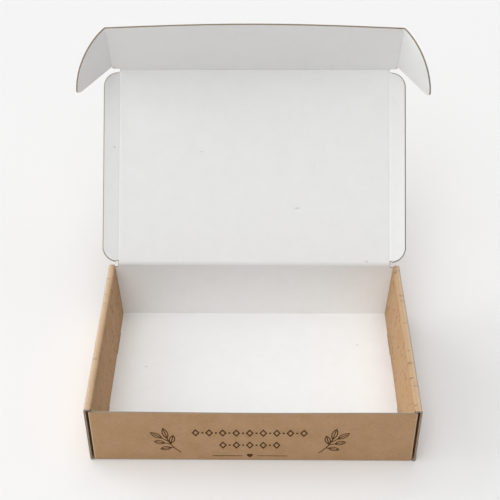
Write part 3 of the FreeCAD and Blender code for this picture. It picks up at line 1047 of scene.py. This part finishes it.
def oval(sides, wide, tall):
    """A flat oval, or with four sides a lozenge."""
    shape = bmesh.new()
    bmesh.ops.create_circle(shape, cap_ends=True, segments=sides, radius=0.5)
    bmesh.ops.scale(shape, vec=(wide, tall, 1), verts=shape.verts[:])
    return shape


def lay(bm, shape, x, z, width=None):
    """Lays a flat shape onto the front wall around a place: filled, or as a line of even width."""
    bmesh.ops.translate(shape, verts=shape.verts[:], vec=(x, z, 0))
    for v in shape.verts:
        v.co = (*wall_point(v.co.x, v.co.y), 0)
    bmesh.ops.recalc_face_normals(shape, faces=shape.faces[:])
    if width:
        faces = shape.faces[:]
        bmesh.ops.inset_region(shape, faces=faces, thickness=width, use_even_offset=True, use_boundary=True)
        bmesh.ops.delete(shape, geom=faces, context="FACES")
    move_into(bm, shape)


def leaf(bm, foot, tip, stalk):
    """A pointed leaf on its stalk, from foot to tip, as an outline with a midrib."""
    stroke(bm, [foot, foot + (tip - foot) * MIDRIB], SPRIG_LINE)
    foot = foot + (tip - foot) * stalk
    way = tip - foot
    shape = oval(LEAF_SIDES, way.length, LEAF_WIDE)
    # an oval whose sides are drawn in towards both ends is pointed
    for v in shape.verts:
        v.co.y *= abs(v.co.y) / (LEAF_WIDE / 2)
    turned = Matrix.Rotation(math.atan2(way.y, way.x), 3, "Z")
    bmesh.ops.rotate(shape, verts=shape.verts[:], cent=(0, 0, 0), matrix=turned)
    lay(bm, shape, *((foot + tip) / 2), SPRIG_LINE)


def sprigs():
    """A plain leaf sprig at each end of the front wall."""
    bm = bmesh.new()
    for side in (1, -1):
        def at(point):
            return Vector((side * mm(point[0]), mm(point[1])))
        stroke(bm, [at(p) for p in STEM], SPRIG_LINE)
        for foot, tip, stalk in LEAVES:
            leaf(bm, at(foot), at(tip), stalk)
    print_piece(bm, "front_sprigs")


def heart():
    """A disc whose sides are lifted, which leaves a notch above and a point below."""
    shape = oval(HEART_SIDES, 2, 2)
    for v in shape.verts:
        v.co.y = 0.8 * v.co.y + 0.6 * math.sqrt(abs(v.co.x)) - 0.1
    bmesh.ops.scale(shape, vec=(HEART_SIZE / 2, HEART_SIZE / 2, 1), verts=shape.verts[:])
    return shape


def rules():
    """Two thin rules with a heart between them."""
    bm = bmesh.new()
    for side in (-1, 1):
        stroke(bm, [Vector((side * RULE_START, RULE_Z)), Vector((side * RULE_END, RULE_Z))], RULE_LINE)
    lay(bm, heart(), 0, RULE_Z)
    print_piece(bm, "front_rules")


def borders():
    """Rows of open lozenges with a dot between each two."""
    bm = bmesh.new()
    for z, count in BORDER_ROWS:
        for i in range(count):
            x = (i - (count - 1) / 2) * BORDER_PITCH
            lay(bm, oval(4, LOZENGE_WIDE, LOZENGE_TALL), x, z, BORDER_LINE)
            if i:
                lay(bm, oval(DOT_SIDES, DOT, DOT), x - BORDER_PITCH / 2, z)
    print_piece(bm, "front_border")


# The floor, the lights and the camera.

FLOOR_HALF = 6.0
FLOOR_DROP = mm(0.2)

# Soft suns around the box: the strongest from straight above and low from the left, the rest to fill.
# Each has its name, where it stands, its strength, and how large it looks in degrees.
LAMPS = (
    ("overhead", (0, 0, 1), 0.98, 50),
    ("left_low", (-0.966, 0, 0.259), 1.08, 25),
    ("left_back", (-0.75, 0.5, 0.43), 0.88, 40),
    ("front_left", (-0.5, -0.5, 0.707), 0.69, 50),
    ("front", (0, -0.64, 0.77), 0.79, 50),
    ("back", (0, 0.64, 0.77), 0.45, 50),
    ("right", (0.8, 0, 0.6), 0.30, 50),
)
WORLD_STRENGTH = 0.03

# the camera stands where the photograph's was, by its lens in millimetres, its place and its three axes
CAMERA_LENS = 74.39
SENSOR = 36
CAMERA_AT = Vector((0.00446, -0.71812, 0.75278))
CAMERA_RIGHT = Vector((0.999961, 0.008532, -0.002367))
CAMERA_UP = Vector((-0.003543, 0.63059, 0.776108))
CAMERA_BACK = Vector((0.008114, -0.776069, 0.630596))


def lay_floor():
    bm = bmesh.new()
    bmesh.ops.create_grid(bm, x_segments=2, y_segments=2, size=FLOOR_HALF)
    bmesh.ops.translate(bm, verts=bm.verts[:], vec=(0, 0, -FLOOR_DROP))
    mesh = bpy.data.meshes.new("floor")
    bm.to_mesh(mesh)
    bm.free()
    mesh.materials.append(floor_material())
    shown("floor", mesh)


def set_lights():
    world = bpy.data.worlds.new("soft_studio")
    world.use_nodes = True
    tree = world.node_tree
    tree.nodes.clear()
    # the light that falls on the box from all around is weak and even, and what the camera sees beyond the
    # floor is as pale as the lit floor
    fill = add(tree, "Background", {"Color": FULL, "Strength": WORLD_STRENGTH})
    seen = add(tree, "Background", {"Color": linear(BACKDROP_HEX), "Strength": 1.0})
    ray = add(tree, "LightPath")
    both = add(tree, "MixShader", links={0: ray.outputs["Is Camera Ray"], 1: fill, 2: seen})
    add(tree, "OutputWorld", links={"Surface": both})
    bpy.context.scene.world = world
    for name, toward, strength, size in LAMPS:
        lamp = bpy.data.lights.new(name, "SUN")
        lamp.energy = strength
        lamp.angle = math.radians(size)
        holder = shown(name, lamp)
        holder.rotation_mode = "QUATERNION"
        holder.rotation_quaternion = (-Vector(toward)).to_track_quat("-Z", "Y")


def set_camera():
    camera = bpy.data.cameras.new("camera")
    camera.lens = CAMERA_LENS
    camera.sensor_width = SENSOR
    camera.clip_start = mm(10)
    view = shown("camera", camera)
    axes = Matrix((CAMERA_RIGHT, CAMERA_UP, CAMERA_BACK)).transposed().to_4x4()
    view.matrix_world = Matrix.Translation(CAMERA_AT) @ axes
    bpy.context.scene.camera = view
    bpy.context.scene.view_settings.view_transform = "Standard"


board(tray_sheet(), "tray_board", "tray", fold_tray, ["tray"], tray_wear_and_highlight, hollow_shade_as_kraft)
lid_panel()
front_flap()
for side, name in ((-1, "left"), (1, "right")):
    ear(side, name)
    side_flap(side, name)
    edge_crease(
        side, name + "_side_crease", name + "_side_flap_fold",
        LID_AT, LID_WAY, LID_INNER, LID_HALF, HINGE_BLANK_Y,
        (CREASE_REACH, LID_LONG - CREASE_REACH), lambda u, s: s > 0,
    )
    edge_crease(
        side, name + "_ear_crease", name + "_ear_fold",
        FLAP_AT, FLAP_WAY, FLAP_INNER, FLAP_HALF, FLAP_BLANK_Y,
        (EAR_START, FLAP_HIGH * math.sqrt(1 - (CREASE_REACH / EAR_REACH) ** 2)),
        lambda u, s: s > 0 or u > FLAP_HIGH / 2,
    )
crease_strip(
    "lid_crease", LID_AT, X_AXIS,
    (Z_AXIS, LID_WAY), (WALL_INNER, LID_INNER),
    (-HINGE_STRIP, HINGE_STRIP), lid_line, lambda u, s: (u, HINGE_BLANK_Y + s),
)
crease_strip(
    "front_crease", FLAP_AT, X_AXIS,
    (LID_WAY, FLAP_WAY), (LID_INNER, FLAP_INNER),
    (-LID_HALF, LID_HALF), flap_line, lambda u, s: (u, FLAP_BLANK_Y + s),
)
sprigs()
rules()
borders()
lay_floor()
set_lights()
set_camera()
